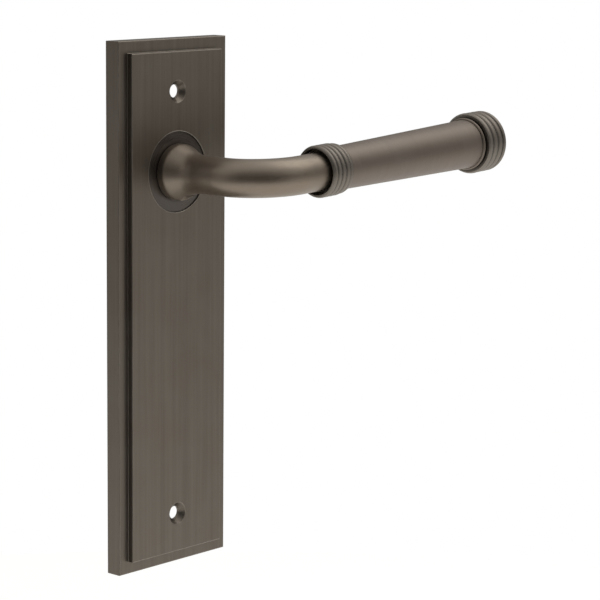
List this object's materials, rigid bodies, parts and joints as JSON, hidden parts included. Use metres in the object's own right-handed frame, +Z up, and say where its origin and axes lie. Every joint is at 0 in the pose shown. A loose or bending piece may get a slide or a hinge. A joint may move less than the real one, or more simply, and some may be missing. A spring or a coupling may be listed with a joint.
{
  "type": "lever door handle on latch backplate",
  "caption": "Sprung lever door handle with a reeded barrel grip on a long stepped backplate with countersunk fixing holes and a square spindle.",
  "frame": {"origin": "on the spindle axis, in the plane of the door face that the back of the plate sits on", "axes": "+X towards the free end of the lever, +Y into the door along the spindle, +Z up along the plate"},
  "size_m": [0.1429, 0.0775, 0.18],
  "materials": {
    "bronze_plate": "dark bronze, satin, fine vertical brushing",
    "bronze_lever": "dark bronze, satin, brushed round the lever",
    "dark_bush": "darkened, smooth satin",
    "zinc_steel": "zinc plated",
    "spring_steel": "oiled spring steel",
    "black_steel": "black oxide",
    "nylon": "natural nylon",
    "buffer_rubber": "black rubber"
  },
  "bodies": {
    "plate": {"backplate": "bronze_plate", "bearing_bush": "dark_bush", "spring_cover": "zinc_steel", "cover_screws": "zinc_steel", "rear_bush": "nylon", "stop_pins": "zinc_steel", "stop_buffers": "buffer_rubber", "spring_anchor_pin": "zinc_steel", "return_spring": "spring_steel"},
    "lever": {"lever_arm": "bronze_lever", "reeded_collar": "bronze_lever", "grip_barrel": "bronze_lever", "grip_bead_ring": "bronze_lever", "end_cap": "bronze_lever", "grip_stud": "zinc_steel", "grip_dowel": "zinc_steel", "spindle": "zinc_steel", "spindle_grub_screw": "black_steel", "cam_plate": "zinc_steel", "retaining_clip": "black_steel", "thrust_washer": "nylon"}
  },
  "joints": [
    {"name": "lever_turn", "type": "hinge", "parent": "plate", "child": "lever", "pos_m": [0, 0, 0], "axis": [0, 1, 0], "range_deg": [0, 40], "stiffness_Nm_per_rad": 0.75, "springref_deg": -31.51, "deforming": ["return_spring"]}
  ]
}
